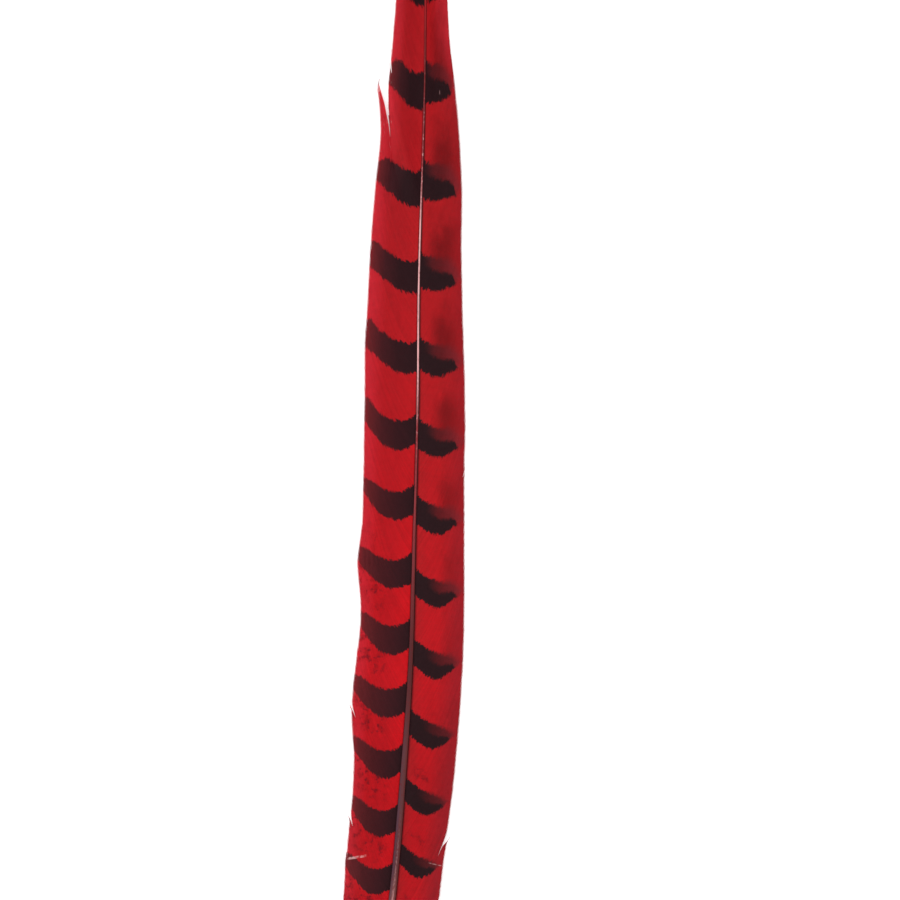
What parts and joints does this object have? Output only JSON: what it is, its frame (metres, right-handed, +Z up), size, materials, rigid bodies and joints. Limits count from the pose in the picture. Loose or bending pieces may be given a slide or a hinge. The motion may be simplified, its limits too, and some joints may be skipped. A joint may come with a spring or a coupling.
{
  "type": "pheasant tail feather",
  "caption": "Long red-dyed, dark-barred pheasant tail feather lying top side up, with down at its base and a bare quill.",
  "frame": {"origin": "under the middle of the whole feather's box, on the surface that it lies on", "axes": "+Y from the quill to the tip, +X to the right seen from above with the tip away, +Z up out of the feather's top side"},
  "size_m": [0.0426, 0.51, 0.0053],
  "materials": {
    "shaft_horn": "satin",
    "vane_barbs": "matte",
    "down_barbs": "matte"
  },
  "bodies": {
    "root": {"shaft": "shaft_horn", "left_vane": "vane_barbs", "right_vane": "vane_barbs", "left_down": "down_barbs", "right_down": "down_barbs"}
  },
  "joints": []
}
